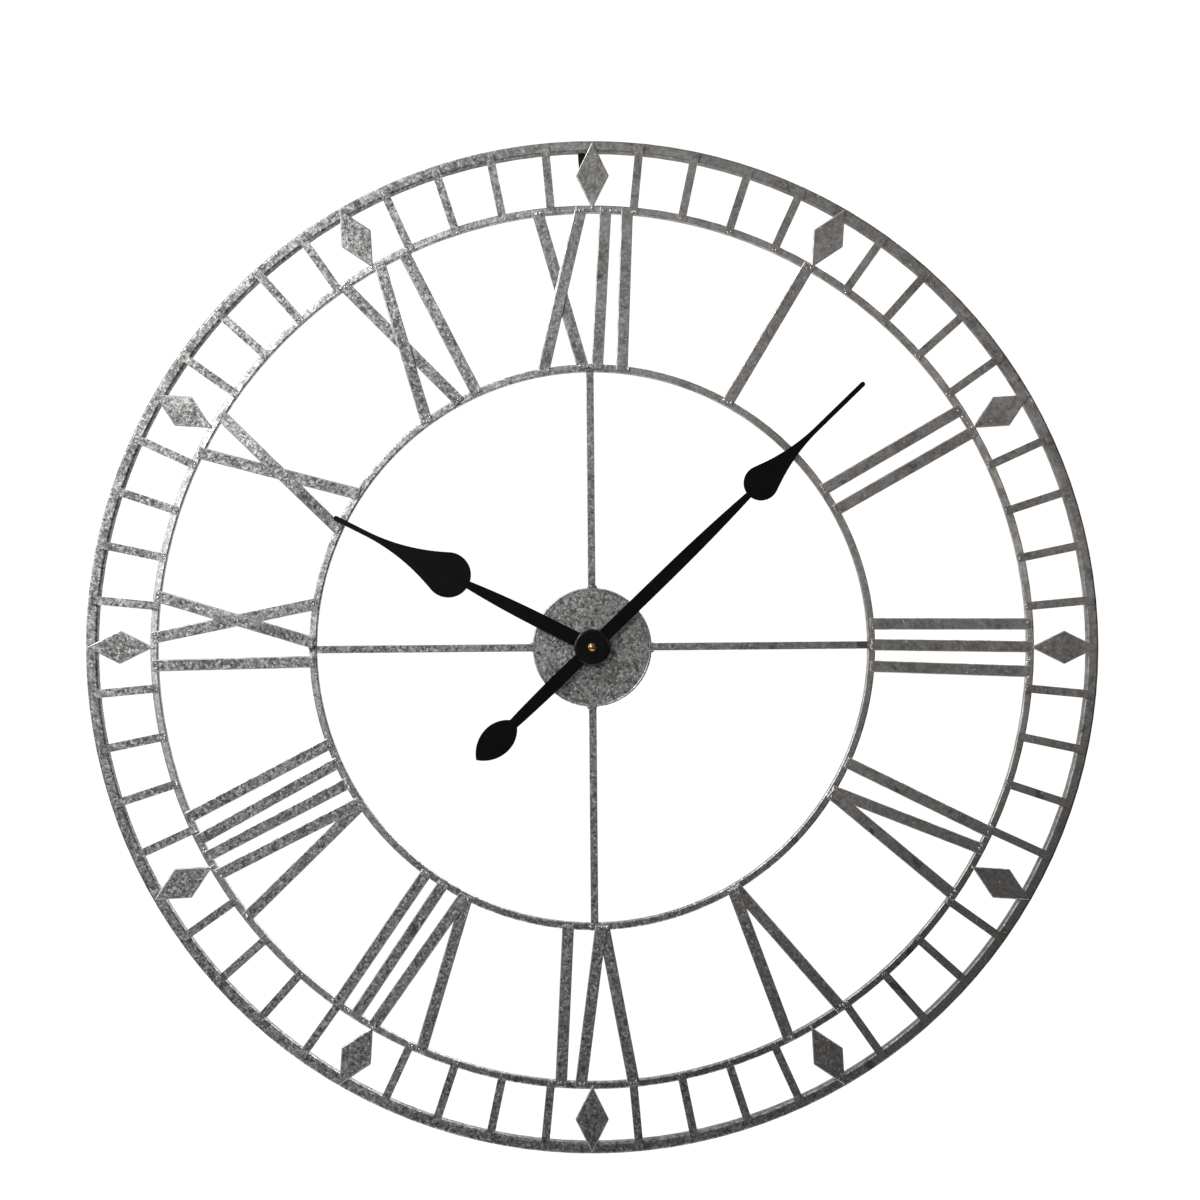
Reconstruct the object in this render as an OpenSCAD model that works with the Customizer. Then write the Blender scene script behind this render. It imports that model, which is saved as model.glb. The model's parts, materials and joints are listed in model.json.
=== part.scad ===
// Open-frame wall clock: three welded steel rings, Roman numerals of flat bar, spade hands
// and a battery quartz movement in a round can at the centre.
// Origin: where the axis of the hands meets the wall. +Z is up, the wall is the plane Y = 0,
// and the clock faces -Y. "Depth" below always means the distance in front of the wall.

/* [Rings] */
// Outside radius of the outer ring
outer_r = 400; // [395:1:410]
// Width of the outer ring, seen from the front
outer_w = 9; // [8:0.5:11]
// Depth of the outer ring, front to back
outer_depth = 10; // [6:0.5:12]
// Outside radius of the ring that carries the outer ends of the numerals
middle_r = 349; // [346:0.5:352]
// Outside radius of the ring that carries the inner ends of the numerals
inner_r = 223.5; // [220:0.5:227]
// Side of the square bar of the two inner rings and the spokes
bar = 6; // [5:0.5:7]
// Depth of the rings' front faces
front = 24; // [24:0.5:30]
// Turn of the cross of spokes, clockwise from upright
spoke_turn = -0.5; // [-2:0.5:2]

/* [Dial] */
// Width of a numeral stroke
stroke_w = 9.3; // [7:0.1:10]
// Thickness of the numeral strokes, minute bars and lozenges
flat_t = 2; // [1.5:0.5:3]
// Spread of a V at its outer end, between stroke centres
v_outer = 42.5; // [38:0.5:46]
// Spread of a V at its inner end, between stroke centres
v_inner = 2.8; // [2:0.2:4]
// Spread of an X at its outer end
x_outer = 34; // [30:0.5:36]
// Spread of an X at its inner end
x_inner = 31; // [28:0.5:34]
// Width of a minute bar
minute_w = 6.5; // [5:0.5:8]
// Angle between neighbouring minute bars
minute_pitch = 6.4; // [6:0.1:6.6]
// Length of the lozenge at each hour
lozenge_l = 53; // [50:0.5:54]
// Width of the lozenge at each hour
lozenge_w = 26.5; // [20:0.5:30]

/* [Hub] */
// Outside radius of the can that hides the movement
drum_r = 47; // [46:0.5:50]
// Wall of the can
drum_wall = 2; // [1.5:0.5:2.5]
// Thickness of the can's front plate
plate_t = 1.7; // [1.5:0.1:2]
// Thickness of the rubber washer between the plate and the movement
rubber_t = 1.3; // [1:0.1:1.5]

/* [Hanger] */
// Radius of the keyhole's round entry
key_r = 4; // [3.5:0.5:4.5]
// Half width of the keyhole's slot
key_slot = 2.1; // [1.8:0.1:2.4]
// Thickness of the hanger plate
hanger_t = 2; // [1.5:0.5:3]
// Width of the hanger plate where it meets the ring
hanger_w = 15; // [13:1:20]

/* [Hands] */
// Clockwise angle of the hour hand from 12
hour_angle = -63.3; // [-180:0.1:180]
// Clockwise angle of the minute hand from 12
minute_angle = 45.8; // [-180:0.1:180]
// Length of the hour hand from the axis to its tip
hour_l = 227.5; // [222:0.5:235]
// Length of the minute hand from the axis to its tip
minute_l = 298; // [290:1:310]
// Length of the minute hand's tail
tail_l = 127; // [125:1:130]
// Thickness of the hands
hand_t = 1; // [0.8:0.1:1.2]
// Radius of the round boss over the axis
boss_r = 14.3; // [12:0.1:16]

/* [Movement] */
// Side of the square movement case
case_w = 56; // [56:1:58]
// Depth of the movement case
case_depth = 16; // [16:0.1:16.4]
// Wall of the movement case
case_wall = 1.2; // [1.2:0.1:1.3]
// Radius of the battery
battery_r = 7; // [6.7:0.1:7]
// Length of the battery's body
battery_l = 49.2; // [48.6:0.2:49.4]

/* [Hidden] */
$fn = 96;
eps = 0.01;

STEEL = [0.53, 0.53, 0.51];
BLACK = [0.05, 0.05, 0.05];
BRASS = [0.78, 0.6, 0.3];
ABS_BLACK = [0.1, 0.1, 0.11];
ACETAL = [0.9, 0.9, 0.86];
COPPER = [0.72, 0.4, 0.22];
BOARD = [0.15, 0.35, 0.2];

// ---- dial layout -------------------------------------------------------------------------
middle_in = middle_r - bar;
inner_in = inner_r - bar;
outer_in = outer_r - outer_w;
stroke_out_r = middle_r - bar / 2 - 1;  // where a stroke's outer offset is measured
stroke_in_r = inner_r - 1.5;            // where a stroke's inner offset is measured
stroke_over = 2.3;                      // how far a stroke runs past those two places
stroke_seat = 8;                        // flat end of a stroke that steps over another
x_step = 20;                            // half the raised stretch of an X's upper stroke
v_step = 26;                            // raised stretch of a V's upper stroke
bar_gap = 0.3;                          // gap where a minute bar is cut short beside a stroke

// The glyphs of each hour, set out by hand as [letter, place at the middle ring, place at the
// inner ring, spread]: a place is the distance from the hour's own radius, clockwise positive,
// and the spread scales the letter's width.
GLYPHS = [
    [["I", -2.5, -4, 1]],
    [["I", -17, -16.5, 1], ["I", 3, 2.5, 1]],
    [["I", -18.5, -18.5, 1], ["I", -0.5, -2, 1], ["I", 19, 15, 1]],
    [["I", -30.5, -22, 1], ["V", 5.5, 4.5, 1]],
    [["V", -4, -2, 1.12]],
    [["V", -12, -8, 0.98], ["I", 24.5, 19, 1]],
    [["V", -21, -12, 1], ["I", 16.5, 8.5, 1], ["I", 33.5, 24.5, 1]],
    [["V", -28, -15.5, 0.95], ["I", 9, 3.5, 1], ["I", 23.5, 21.5, 1], ["I", 43, 38, 1]],
    [["I", -14.5, -11.5, 1], ["X", 24, 19, 0.96]],
    [["X", -5, -3.5, 1]],
    [["X", -10.5, -9, 0.96], ["I", 27, 21.5, 1]],
    [["X", -26, -23, 1], ["I", 10.5, 4, 1], ["I", 27.5, 23.5, 1]],
];

// ---- depths ------------------------------------------------------------------------------
plate_rear = front - plate_t;
case_front = plate_rear - rubber_t;
case_rear = case_front - case_depth;
in_rear = case_rear + case_wall;        // inner face of the rear cover
in_front = case_front - case_wall;      // inner face of the case's front wall
washer_t = 0.6;
nut_t = 2.4;
bush_front = front + 4.4;
collet_t = 0.7;
hour_hand_d = bush_front + 0.5 + collet_t;
minute_hand_d = hour_hand_d + hand_t + 2.6;
boss_d = minute_hand_d + hand_t;
boss_t = 2.8;
cap_d = boss_d + boss_t;

// ---- movement ----------------------------------------------------------------------------
gear_t = 0.8;
step_d = in_rear + 1.4;                 // depths of the wheels' rear faces
seconds_d = in_rear + 3.2;
third_d = in_rear + 5.4;
centre_d = in_rear + 7.4;
minute_d = in_rear + 9.4;
hour_d = in_rear + 11.2;
play = 0.05;                            // radial running clearance of every pivot and arbor
pivot_r = 0.4;
stud_r = 0.5;
arbor_r = 1.8;
arbor_tip_r = 1.5;
tube_r = 2.65;
bush_r = 4;
bush_hole = 4.2;                        // hole for the bush in the plate and washers
setting_r = 1.2;                        // shaft between the minute wheel and the knob
magnet_r = 2.5;
pivot_in = 0.7;                         // how deep a pivot's hole goes into a wall
arbor_rear = third_d + gear_t + 0.55;

// Wheel places in the front view, [right, up]
third_at = [9.6, 0];
minute_at = [-10.5, 0];
step_at = [0, 7];
rotor_at = [0, 13];

// Teeth of each meshing pair, [driver, driven]
rotor_step = [8, 40];
step_seconds = [8, 48];
seconds_third = [8, 60];
third_centre = [8, 64];
cannon_minute = [12, 36];
minute_hour = [10, 40];

battery_up = -19;                       // height of the battery's axis, from the hands' axis
battery_d = case_rear + 0.4 + battery_r;
bay_top = battery_up + battery_r + 0.7;

function numeral_name(hour) = str("numeral_", hour < 10 ? "0" : "", hour);
function distance(a, b) = norm(b - a);
function bearing(a, b) = atan2(b[1] - a[1], b[0] - a[0]);

// ---- placing -----------------------------------------------------------------------------

// A front view, drawn with X to the right and Y up, made t thick towards the viewer from depth d
module slab(d, t) {
    translate([0, -d, 0]) rotate([90, 0, 0]) linear_extrude(t) children();
}

// A half profile, drawn as [radius, depth], turned about the axis of the hands
module turned() {
    rotate([90, 0, 0]) rotate_extrude() children();
}

module at_clock(angle) {
    rotate(-angle) children();
}

module annulus(r_out, r_in) {
    difference() {
        circle(r_out);
        circle(r_in);
    }
}

// A rectangle of exact arcs and straights
module rounded_rect(w, h, r) {
    square([w - 2 * r, h], center = true);
    square([w, h - 2 * r], center = true);
    for (x = [-1, 1], y = [-1, 1])
        translate([x * (w / 2 - r), y * (h / 2 - r)]) circle(r);
}

// ---- rings and dial ----------------------------------------------------------------------

module outer_ring() {
    color(STEEL) slab(front - outer_depth, outer_depth) annulus(outer_r, outer_in);
}

module middle_ring() {
    color(STEEL) slab(front - bar, bar) annulus(middle_r, middle_in);
}

module inner_ring() {
    color(STEEL) slab(front - bar, bar) annulus(inner_r, inner_in);
}

// Four square bars from the can's front plate to the inner ring
module spokes() {
    spoke_start = drum_r - drum_wall + 0.1;
    color(STEEL) slab(front - bar, bar) intersection() {
        circle(inner_in);
        for (quarter = [0:3])
            at_clock(spoke_turn + 90 * quarter) translate([-bar / 2, spoke_start])
                square([bar, inner_r - spoke_start]);
    }
}

function on_ring(r, offset) = r * [sin(offset / r * 180 / PI), cos(offset / r * 180 / PI)];

// The strokes of one glyph as [offset at the middle ring, offset at the inner ring, step]
function strokes_of(glyph) =
    let (kind = glyph[0], out = glyph[1], in = glyph[2], k = glyph[3] / 2)
    kind == "I" ? [[out, in, "flat"]]
    : kind == "V" ? [
        [out - k * v_outer, in - k * v_inner, "flat"],
        [out + k * v_outer, in + k * v_inner, "over_end"]]
    : [
        [out - k * x_outer, in + k * x_inner, "flat"],
        [out + k * x_outer, in - k * x_inner, "over_middle"]];

function strokes(hour) = [for (glyph = GLYPHS[hour - 1]) each strokes_of(glyph)];

// Where a stroke starts, near the inner ring, and which way it runs, in the hour's own view
function stroke_start(s) = on_ring(stroke_in_r, s[1]) - stroke_over * stroke_dir(s);
function stroke_dir(s) =
    let (run = on_ring(stroke_out_r, s[0]) - on_ring(stroke_in_r, s[1])) run / norm(run);
function stroke_length(s) =
    norm(on_ring(stroke_out_r, s[0]) - on_ring(stroke_in_r, s[1])) + 2 * stroke_over;

// Height of a stroke's rear face above the rings, along its length
function stroke_rise(s, len) =
    s[2] == "flat" ? [[0, 0], [len, 0]]
    : s[2] == "over_end" ? [[0, flat_t], [v_step, flat_t], [len - stroke_seat, 0], [len, 0]]
    : let (cross = len * x_inner / (x_inner + x_outer))
        [[0, 0], [stroke_seat, 0], [cross - x_step, flat_t], [cross + x_step, flat_t],
         [len - stroke_seat, 0], [len, 0]];

// One flat bar, bent forward by its own thickness where it crosses another
module stroke(s) {
    start = stroke_start(s);
    dir = stroke_dir(s);
    rise = stroke_rise(s, stroke_length(s));
    top = [for (i = [len(rise) - 1:-1:0]) rise[i] + [0, flat_t]];
    translate([start[0], -front, start[1]])
        rotate([0, -atan2(dir[1], dir[0]), 0]) rotate([180, 0, 0])
            linear_extrude(stroke_w, center = true) polygon(concat(rise, top));
}

module numeral(hour) {
    color(STEEL) rotate([0, 30 * hour, 0])
        for (s = strokes(hour)) stroke(s);
}

// The outline of a stroke, seen from the front and grown by gap
module stroke_outline(s, gap) {
    dir = stroke_dir(s);
    translate(stroke_start(s)) rotate(atan2(dir[1], dir[0]))
        translate([-gap, -stroke_w / 2 - gap])
            square([stroke_length(s) + 2 * gap, stroke_w + 2 * gap]);
}

// All the outlines of one hour's strokes, in the clock's front view
module numeral_outline(hour, gap) {
    at_clock(30 * hour) for (s = strokes(hour)) stroke_outline(s, gap);
}

// Four bars between each pair of hours, cut short where a numeral holds the middle ring
module minute_bars() {
    start = middle_in + 0.2;
    end = outer_in + outer_w * 0.7;
    color(STEEL) slab(front, flat_t) difference() {
        for (hour = [0:11], k = [-1.5:1.5])
            at_clock(30 * hour + 15 + k * minute_pitch)
                translate([-minute_w / 2, start]) square([minute_w, end - start]);
        for (hour = [1:12]) numeral_outline(hour, bar_gap);
    }
}

module hour_lozenges() {
    start = outer_r - 1.3 - lozenge_l;
    middle = start + lozenge_l / 2;
    color(STEEL) slab(front, flat_t) difference() {
        for (hour = [1:12])
            at_clock(30 * hour) polygon([
                [0, start], [lozenge_w / 2, middle], [0, start + lozenge_l],
                [-lozenge_w / 2, middle]]);
        for (hour = [1:12]) numeral_outline(hour, bar_gap);
    }
}

// ---- hanger ------------------------------------------------------------------------------
hanger_x = -3.9;                        // the plate sits a little left of 12
hanger_hole = outer_in - 12.5;          // height of the keyhole's entry
hanger_rim = 2.6;                       // metal around the entry
hanger_slot = 8.5;                      // how far the slot rises above the entry's centre

module hanger_plate() {
    top = outer_r - 2.5;
    foot = key_r + hanger_rim;
    color(BLACK) slab(front - outer_depth - hanger_t, hanger_t) translate([hanger_x, 0])
        difference() {
            union() {
                translate([0, hanger_hole]) circle(foot);
                polygon([
                    [-foot, hanger_hole], [foot, hanger_hole],
                    [hanger_w / 2, outer_in], [hanger_w / 2, top],
                    [-hanger_w / 2, top], [-hanger_w / 2, outer_in]]);
            }
            translate([0, hanger_hole]) circle(key_r);
            translate([-key_slot, hanger_hole]) square([2 * key_slot, hanger_slot]);
            translate([0, hanger_hole + hanger_slot]) circle(key_slot);
        }
}

// ---- hub ---------------------------------------------------------------------------------
drum_in = drum_r - drum_wall;
lug_t = 1.5;
lug_w = 12;
lug_l = 5.5;

// The can: a rolled wall with a rounded front rim, notched for the spokes, and four lugs
// inside that carry the front plate
module hub_drum() {
    color(STEEL) {
        difference() {
            turned() {
                translate([drum_in, 0]) square([drum_wall, front - drum_wall / 2]);
                translate([drum_in + drum_wall / 2, front - drum_wall / 2])
                    circle(drum_wall / 2);
            }
            slab(front - bar, bar + 1) for (quarter = [0:3])
                at_clock(spoke_turn + 90 * quarter) translate([-bar / 2, drum_in - 1])
                    square([bar, drum_wall + 2]);
        }
        slab(plate_rear - lug_t, lug_t) intersection() {
            circle(drum_in);
            for (quarter = [0:3])
                at_clock(45 + 90 * quarter) translate([-lug_w / 2, drum_in - lug_l])
                    square([lug_w, lug_l + 1]);
        }
    }
}

module hub_plate() {
    color(STEEL) slab(plate_rear, plate_t) annulus(drum_in - 0.2, bush_hole);
}

module rubber_washer() {
    color(BLACK) slab(case_front, rubber_t) annulus(11, bush_hole);
}

module brass_washer() {
    color(BRASS) slab(front, washer_t) annulus(7.5, bush_hole);
}

module hex_nut() {
    across_flats = 11;
    color(BRASS) slab(front + washer_t, nut_t) difference() {
        circle(across_flats / sqrt(3), $fn = 6);
        circle(bush_r);
    }
}

// Brass tube with a flange behind the case's front wall; the hour tube turns in its bore
module threaded_bush() {
    flange_t = 0.8;
    color(BRASS) turned() {
        translate([tube_r + play, in_front - flange_t])
            square([bush_r - tube_r - play, bush_front - in_front + flange_t]);
        translate([bush_r - eps, in_front - flange_t]) square([1.5 + eps, flange_t]);
    }
}

// ---- movement case -----------------------------------------------------------------------
case_corner = 5;
case_in = case_w - 2 * case_wall;

module movement_case() {
    color(ABS_BLACK) difference() {
        union() {
            difference() {
                slab(in_rear, case_front - in_rear) rounded_rect(case_w, case_w, case_corner);
                slab(in_rear - 1, in_front - in_rear + 1)
                    rounded_rect(case_in, case_in, case_corner - case_wall);
            }
            slab(in_rear, in_front - in_rear) translate([-case_in / 2 - eps, bay_top])
                square([case_in + 2 * eps, 0.8]);
        }
        slab(in_front - 1, case_wall + 2) circle(bush_r);
        slab(in_front - eps, pivot_in + eps) {
            translate(third_at) circle(pivot_r + play);
            translate(rotor_at) circle(pivot_r + play);
            translate(minute_at) circle(stud_r + play);
        }
    }
}

// Rear cover with a window for the battery, the hole of the setting shaft, three pivot holes
// and the stud that the step wheel turns on
module movement_cover() {
    window_w = battery_l + 2.4;
    color(ABS_BLACK) {
        difference() {
            slab(case_rear, case_wall) rounded_rect(case_w, case_w, case_corner);
            slab(case_rear - 1, case_wall + 2) {
                translate([0, battery_up])
                    square([window_w, 2 * battery_r + 0.8], center = true);
                translate(minute_at) circle(setting_r + play);
            }
            slab(in_rear - pivot_in, pivot_in + eps) {
                circle(stud_r + play);
                translate(third_at) circle(pivot_r + play);
                translate(rotor_at) circle(pivot_r + play);
            }
        }
        slab(in_rear - eps, seconds_d + gear_t - in_rear) translate(step_at) circle(stud_r);
    }
}

// A sprung plate with a round dimple at each end of the battery bay
module battery_contacts() {
    sheet = 0.4;
    sheet_h = 7.6;
    dimple = 0.7;
    color(BRASS) for (side = [-1, 1]) {
        slab(battery_d - 5, 10)
            translate([side * (case_in / 2 - sheet / 2), battery_up])
                square([sheet, sheet_h], center = true);
        translate([side * (case_in / 2 - sheet - dimple / 2), -battery_d, battery_up])
            rotate([0, 90, 0]) cylinder(h = dimple, r = 2, center = true);
    }
}

module battery() {
    nub_l = 0.8;
    color(COPPER) translate([-nub_l / 2, -battery_d, battery_up]) rotate([0, 90, 0]) {
        cylinder(h = battery_l, r = battery_r, center = true);
        translate([0, 0, battery_l / 2 - eps]) cylinder(h = nub_l + eps, r = 2.75);
    }
}

// ---- electronics and motor ---------------------------------------------------------------
board_at = [21.9, 3.1];
board_size = [8.8, 25.8];
board_d = in_rear + 1;
board_t = 0.8;
coil_up = 21.5;                         // height of the coil's axis
coil_l = 18;
coil_h = 7.4;
core_h = 4;
yoke_w = 30;
yoke_h = 9;
leg_w = 4;
stator_d = seconds_d + 1.1;
flange_w = 1;
sleeve = 0.6;

module circuit_board() {
    color(BOARD) slab(board_d, board_t) translate(board_at) square(board_size, center = true);
}

module circuit_chip() {
    color(BLACK) slab(board_d + board_t, 1) translate(board_at + [0, -7]) circle(3);
}

module quartz_crystal() {
    crystal_r = 1;
    color("silver") translate([board_at[0], -(board_d + board_t + crystal_r), board_at[1] + 3])
        cylinder(h = 6, r = crystal_r);
}

// Two stacked sheets: the yoke around the rotor, and the core that runs through the coil
module stator() {
    color("silver") {
        slab(stator_d, gear_t) difference() {
            union() {
                translate(rotor_at) square([yoke_w, yoke_h], center = true);
                for (side = [-1, 1])
                    translate([side * (yoke_w - leg_w) / 2, (rotor_at[1] + coil_up) / 2])
                        square([leg_w, coil_up - rotor_at[1] + core_h], center = true);
            }
            translate(rotor_at) circle(magnet_r + 0.7);
        }
        slab(stator_d + gear_t, gear_t) translate([0, coil_up])
            square([yoke_w, core_h], center = true);
    }
}

core_d = stator_d + 1.5 * gear_t;       // depth of the middle of the core

module coil_box(l, grow) {
    translate([0, -core_d, coil_up])
        cube([l, gear_t + 2 * grow, core_h + 2 * grow], center = true);
}

module coil_bobbin() {
    grow = (coil_h - core_h) / 2;
    color(ACETAL) difference() {
        union() {
            coil_box(coil_l, sleeve);
            for (side = [-1, 1])
                translate([side * (coil_l + flange_w) / 2, 0, 0]) coil_box(flange_w, grow);
        }
        coil_box(yoke_w, 0);
    }
}

module coil_winding() {
    color(COPPER) difference() {
        coil_box(coil_l, (coil_h - core_h) / 2 - 0.3);
        coil_box(coil_l + 1, sleeve);
    }
}

// ---- wheels ------------------------------------------------------------------------------

// A toothed outline. Flanks are straight above and below the pitch line, thinned for backlash;
// a tooth points along angle, or a gap does.
module gear(teeth, module_mm, angle, gap_there = false) {
    pitch_r = teeth * module_mm / 2;
    small = teeth < 20;
    tip_r = pitch_r + module_mm * (small ? 0.85 : 0.8);
    root_r = pitch_r - module_mm * 1.15;
    pitch_half = 90 / teeth - 0.1 * module_mm / pitch_r * 180 / PI;
    tip_half = pitch_half * (small ? 0.42 : 0.55);
    root_half = pitch_half * (small ? 1.05 : 1.45);
    rotate(angle + (gap_there ? 180 / teeth : 0)) polygon([
        for (k = [0:teeth - 1], p = [
            [root_r, -root_half], [pitch_r, -pitch_half], [tip_r, -tip_half],
            [tip_r, tip_half], [pitch_r, pitch_half], [root_r, root_half]])
            p[0] * [cos(k * 360 / teeth + p[1]), sin(k * 360 / teeth + p[1])]
    ]);
}

// Module of a pair from its centre distance and teeth
function pair_module(a, b, pair) = 2 * distance(a, b) / (pair[0] + pair[1]);

// The driver (i = 0) or the driven gear (i = 1) of a pair whose centres are at a and b
module pair_gear(a, b, pair, i) {
    m = pair_module(a, b, pair);
    translate(i == 0 ? a : b)
        gear(pair[i], m, i == 0 ? bearing(a, b) : bearing(b, a), i == 1);
}

centre_at = [0, 0];

// A straight round shaft of radius r between depths d0 and d1
module shaft(at, r, d0, d1) {
    slab(d0, d1 - d0) translate(at) circle(r);
}

// Round magnet on a pinioned arbor; it turns half a turn each second
module rotor() {
    color(ABS_BLACK) {
        shaft(rotor_at, pivot_r, in_rear - pivot_in + 0.1, in_front + pivot_in - 0.1);
        shaft(rotor_at, magnet_r, seconds_d - 0.2, seconds_d + 3);
        slab(step_d - 0.3, gear_t + 0.6) pair_gear(rotor_at, step_at, rotor_step, 0);
    }
}

module step_wheel() {
    color(ACETAL) difference() {
        union() {
            slab(step_d, gear_t) pair_gear(rotor_at, step_at, rotor_step, 1);
            slab(step_d + gear_t - eps, seconds_d - step_d + 0.1)
                pair_gear(step_at, centre_at, step_seconds, 0);
        }
        shaft(step_at, stud_r + play, step_d - 1, seconds_d + 2);
    }
}

module seconds_wheel() {
    color(ACETAL) {
        slab(seconds_d, gear_t) pair_gear(step_at, centre_at, step_seconds, 1);
        shaft(centre_at, stud_r, in_rear - pivot_in + 0.1, arbor_rear + 0.7);
        slab(third_d - 0.3, gear_t + 0.6) pair_gear(centre_at, third_at, seconds_third, 0);
        shaft(centre_at, 0.8, seconds_d + gear_t - eps, third_d - 0.3 + eps);
    }
}

module third_wheel() {
    color(ACETAL) {
        slab(third_d, gear_t) pair_gear(centre_at, third_at, seconds_third, 1);
        slab(third_d + gear_t - eps, centre_d - third_d + 0.3)
            pair_gear(third_at, centre_at, third_centre, 0);
        shaft(third_at, pivot_r, in_rear - pivot_in + 0.1, in_front + pivot_in - 0.1);
    }
}

// Driven by the third wheel; it slips on the minute arbor while the hands are being set
module centre_wheel() {
    color(ACETAL) slab(centre_d, gear_t) difference() {
        pair_gear(third_at, centre_at, third_centre, 1);
        circle(arbor_r + play);
    }
}

// Arbor of the minute hand, with the cannon pinion
module minute_arbor() {
    color(BRASS) {
        difference() {
            shaft(centre_at, arbor_r, arbor_rear, minute_hand_d);
            shaft(centre_at, stud_r + play, arbor_rear - 1, arbor_rear + 0.9);
        }
        shaft(centre_at, arbor_tip_r, minute_hand_d - eps, cap_d + 1.4);
        slab(minute_d - 0.3, 1.6) difference() {
            pair_gear(centre_at, minute_at, cannon_minute, 0);
            circle(arbor_r - eps);
        }
    }
}

// Wheel and pinion of the motion work, on the shaft of the setting knob
module minute_wheel() {
    wheel_t = 1;
    pinion_front = hour_d + 1.6;
    color(ACETAL) {
        shaft(minute_at, setting_r, case_rear - 2.4, minute_d + eps);
        slab(minute_d, wheel_t) pair_gear(centre_at, minute_at, cannon_minute, 1);
        slab(minute_d + wheel_t - eps, pinion_front - minute_d - wheel_t)
            pair_gear(minute_at, centre_at, minute_hour, 0);
        shaft(minute_at, stud_r, pinion_front - 2 * eps, in_front + pivot_in - 0.1);
    }
}

// Ribbed knob behind the rear cover, for setting the hands
module set_knob() {
    knob_r = 4.6;
    knob_front = case_rear - 0.4;
    ribs = 18;
    color(ACETAL) difference() {
        slab(knob_front - 3, 3) translate(minute_at) difference() {
            circle(knob_r);
            for (k = [0:ribs - 1]) rotate(k * 360 / ribs) translate([knob_r + 0.1, 0]) circle(0.45);
        }
        shaft(minute_at, setting_r, case_rear - 2.4, knob_front + 1);
    }
}

// Wheel of the hour hand, with the tube that carries the hand
module hour_wheel() {
    color(ACETAL) difference() {
        union() {
            slab(hour_d, 1.2) pair_gear(minute_at, centre_at, minute_hour, 1);
            shaft(centre_at, tube_r, hour_d, hour_hand_d + hand_t);
        }
        shaft(centre_at, arbor_r + play, hour_d - 1, hour_hand_d + hand_t + 1);
    }
}

// ---- hands -------------------------------------------------------------------------------

// Drop of a circular arc of radius r at distance x from its top
function arc_drop(x, r) = r - sqrt(r * r - x * x);

function lerp(a, b, t) = a + (b - a) * t;

// Half outline of a spade hand from its root to its tip, as [half width, distance from the
// axis]: a stem that narrows to a neck, a round, a hollow-sided point and a slim round-ended tip
function spade_half(root, stem_from, stem_w, neck_w, round_at, round_r, join_r,
                    hollow_r, hollow_to, tip_w, length) =
    let (neck_turn = 180 - asin(neck_w / round_r),
         neck_r = round_at + round_r * cos(neck_turn),
         join_turn = acos((join_r - round_at) / round_r))
    concat(
        [[stem_w, root]],
        [for (t = [0:0.125:1]) [lerp(stem_w, neck_w, pow(t, 2.2)), lerp(stem_from, neck_r, t)]],
        [for (t = [0.0625:0.0625:1]) let (a = lerp(neck_turn, join_turn, t))
            [round_r * sin(a), round_at + round_r * cos(a)]],
        [for (t = [0.08:0.08:1]) let (r = lerp(join_r, hollow_to, t))
            [tip_w + arc_drop(hollow_to - r, hollow_r), r]],
        [for (a = [0:15:90]) [tip_w * cos(a), length - tip_w + tip_w * sin(a)]]);

// Half outline of the minute hand's tail, from the leaf's point back to the axis
leaf_at = 104;
leaf_w = 12.3;
leaf_neck_at = 86;
leaf_neck_w = 4.1;

function tail_half() =
    let (back = tail_l - leaf_at, fore = leaf_at - leaf_neck_at, rise = leaf_w - leaf_neck_w,
         back_r = (back * back + leaf_w * leaf_w) / (2 * leaf_w),
         fore_r = (fore * fore + rise * rise) / (2 * rise))
    concat(
        [[0, -tail_l]],
        [for (t = [0.9:-0.1:0.1]) [leaf_w - arc_drop(back * t, back_r), -leaf_at - back * t]],
        [for (t = [0:0.1:1]) [leaf_w - arc_drop(fore * t, fore_r), -leaf_at + fore * t]],
        [for (t = [0.2:0.2:1]) [lerp(leaf_neck_w, 5.4, pow(t, 0.7)), lerp(-leaf_neck_at, -40, t)]],
        [[4.9, -12]]);

// Both sides of a half outline
function both_sides(half) = concat(
    half, [for (i = [len(half) - 1:-1:0]) if (half[i][0] > 0.001) [-half[i][0], half[i][1]]]);

module hour_hand() {
    half = spade_half(4, 40, 5.8, 3.1, 126.7, 17.9, 135, 158.4, 200, 2, hour_l);
    color(BLACK) slab(hour_hand_d, hand_t) at_clock(hour_angle) difference() {
        union() {
            polygon(both_sides(half));
            circle(9);
        }
        circle(tube_r);
    }
}

module minute_hand() {
    half = spade_half(12, 70, 5.3, 2.6, 184.8, 13.75, 190, 148.5, 246, 1.95, minute_l);
    color(BLACK) slab(minute_hand_d, hand_t) at_clock(minute_angle) difference() {
        union() {
            polygon(both_sides(concat(tail_half(), half)));
            circle(9);
        }
        circle(arbor_tip_r);
    }
}

// Spacer that the hour hand is pressed against
module hour_hand_collet() {
    color(BRASS) slab(hour_hand_d - collet_t, collet_t) annulus(5, tube_r);
}

// Round cover over the minute hand's root, with a rounded front edge
module minute_hand_boss() {
    edge = 1.6;
    color(BLACK) turned() difference() {
        union() {
            translate([arbor_tip_r, boss_d]) square([boss_r - edge - arbor_tip_r, boss_t]);
            translate([boss_r - edge - eps, boss_d]) square([edge + eps, boss_t - edge]);
            translate([boss_r - edge, boss_d + boss_t - edge]) circle(edge);
        }
        translate([boss_r - 3 * edge, boss_d - 2 * edge]) square([4 * edge, 2 * edge]);
    }
}

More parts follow.
